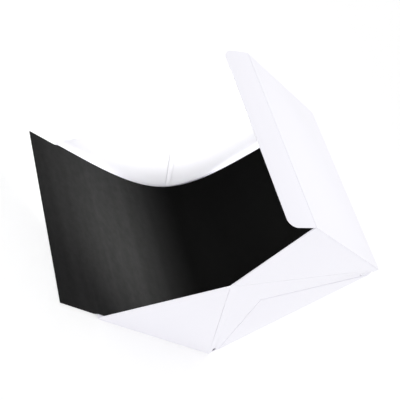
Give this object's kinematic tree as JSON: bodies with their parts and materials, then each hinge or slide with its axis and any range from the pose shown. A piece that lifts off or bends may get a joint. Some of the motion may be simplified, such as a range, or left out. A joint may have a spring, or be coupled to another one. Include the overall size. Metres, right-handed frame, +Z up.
{
  "type": "folding photo light box",
  "caption": "Collapsible tabletop photo box: folding white shell, V-notched walls, hinged visor with lamp bar and a black sweep backdrop sheet.",
  "frame": {"origin": "centre of the floor panel's underside, where the box stands on the table", "axes": "+Z up, +Y towards the back wall, open front facing -Y, +X to the right as seen from the front"},
  "size_m": [0.2312, 0.286, 0.24],
  "materials": {
    "shell_white": "satin polypropylene sheet, fine leather grain",
    "hinge_white": "scored polypropylene",
    "backdrop_black": "matt black sheet, fine mottled surface",
    "hook_tape": "white hook tape",
    "loop_tape": "black loop tape",
    "foam_tape": "double-sided foam tape",
    "lamp_aluminium": "satin anodised",
    "board_white": "white solder mask",
    "chip_yellow": "phosphor gel",
    "resistor_black": "small chip resistors",
    "diffuser_milky": "milky diffuser",
    "cap_white": "moulded end cap",
    "socket_steel": "plated steel shell",
    "socket_black": "black moulding"
  },
  "bodies": {
    "floor": {"floor_panel": "shell_white", "floor_back_hinge": "hinge_white", "left_floor_hinge": "hinge_white", "right_floor_hinge": "hinge_white", "left_rear_web": "shell_white", "right_rear_web": "shell_white", "left_rear_tab": "shell_white", "right_rear_tab": "shell_white", "backdrop_sheet": "backdrop_black"},
    "back_lower": {"back_lower_panel": "shell_white", "back_middle_hinge": "hinge_white"},
    "back_upper": {"back_upper_panel": "shell_white", "hook_pads": "hook_tape", "loop_pads": "loop_tape"},
    "roof": {"roof_panel": "shell_white", "back_roof_hinge": "hinge_white", "left_roof_hinge": "hinge_white", "right_roof_hinge": "hinge_white", "visor_hinge": "hinge_white"},
    "left_lower_wall": {"left_lower_wall": "shell_white"},
    "right_lower_wall": {"right_lower_wall": "shell_white"},
    "left_upper_wall": {"left_upper_wall": "shell_white"},
    "right_upper_wall": {"right_upper_wall": "shell_white"},
    "visor": {"visor_panel": "shell_white", "lamp_bar_tape": "foam_tape", "lamp_channel": "lamp_aluminium", "lamp_board": "board_white", "lamp_chips": "chip_yellow", "lamp_resistors": "resistor_black", "lamp_diffuser": "diffuser_milky", "left_bar_cap": "cap_white", "right_bar_cap": "cap_white", "socket_shell": "socket_steel", "socket_tongue": "socket_black"}
  },
  "joints": [
    {"name": "fold_flat", "type": "hinge", "parent": "floor", "child": "back_lower", "pos_m": [0, 0.1114, 0.0046], "axis": [1, 0, 0], "range_deg": [0, 84], "deforming": ["left_rear_web", "right_rear_web", "left_rear_tab", "right_rear_tab", "backdrop_sheet", "floor_back_hinge", "back_middle_hinge", "back_roof_hinge", "left_floor_hinge", "right_floor_hinge", "left_roof_hinge", "right_roof_hinge", "hook_pads", "loop_pads"]},
    {"name": "back_crease", "type": "hinge", "parent": "back_lower", "child": "back_upper", "pos_m": [0, 0.113, 0.12], "axis": [1, 0, 0], "range_deg": [-168, 0]},
    {"name": "roof_level", "type": "hinge", "parent": "back_upper", "child": "roof", "pos_m": [0, 0.1114, 0.2354], "axis": [1, 0, 0], "range_deg": [0, 84]},
    {"name": "visor_tilt", "type": "hinge", "parent": "roof", "child": "visor", "pos_m": [0, -0.0624, 0.2384], "axis": [1, 0, 0], "range_deg": [-30, 10], "deforming": ["visor_hinge"]},
    {"name": "left_lower_wall_fold", "type": "hinge", "parent": "floor", "child": "left_lower_wall", "pos_m": [-0.1134, 0, 0.002], "axis": [0, 1, 0], "range_deg": [0, 84]},
    {"name": "left_upper_wall_fold", "type": "hinge", "parent": "roof", "child": "left_upper_wall", "pos_m": [-0.1134, 0, 0.238], "axis": [0, -1, 0], "range_deg": [0, 84]},
    {"name": "right_lower_wall_fold", "type": "hinge", "parent": "floor", "child": "right_lower_wall", "pos_m": [0.1134, 0, 0.002], "axis": [0, -1, 0], "range_deg": [0, 84]},
    {"name": "right_upper_wall_fold", "type": "hinge", "parent": "roof", "child": "right_upper_wall", "pos_m": [0.1134, 0, 0.238], "axis": [0, 1, 0], "range_deg": [0, 84]}
  ],
  "couplings": [
    {"joint": "back_crease", "follows": "fold_flat", "ratio": -2},
    {"joint": "roof_level", "follows": "fold_flat", "ratio": 1},
    {"joint": "left_lower_wall_fold", "follows": "fold_flat", "ratio": 1},
    {"joint": "left_upper_wall_fold", "follows": "fold_flat", "ratio": 1},
    {"joint": "right_lower_wall_fold", "follows": "fold_flat", "ratio": 1},
    {"joint": "right_upper_wall_fold", "follows": "fold_flat", "ratio": 1}
  ]
}
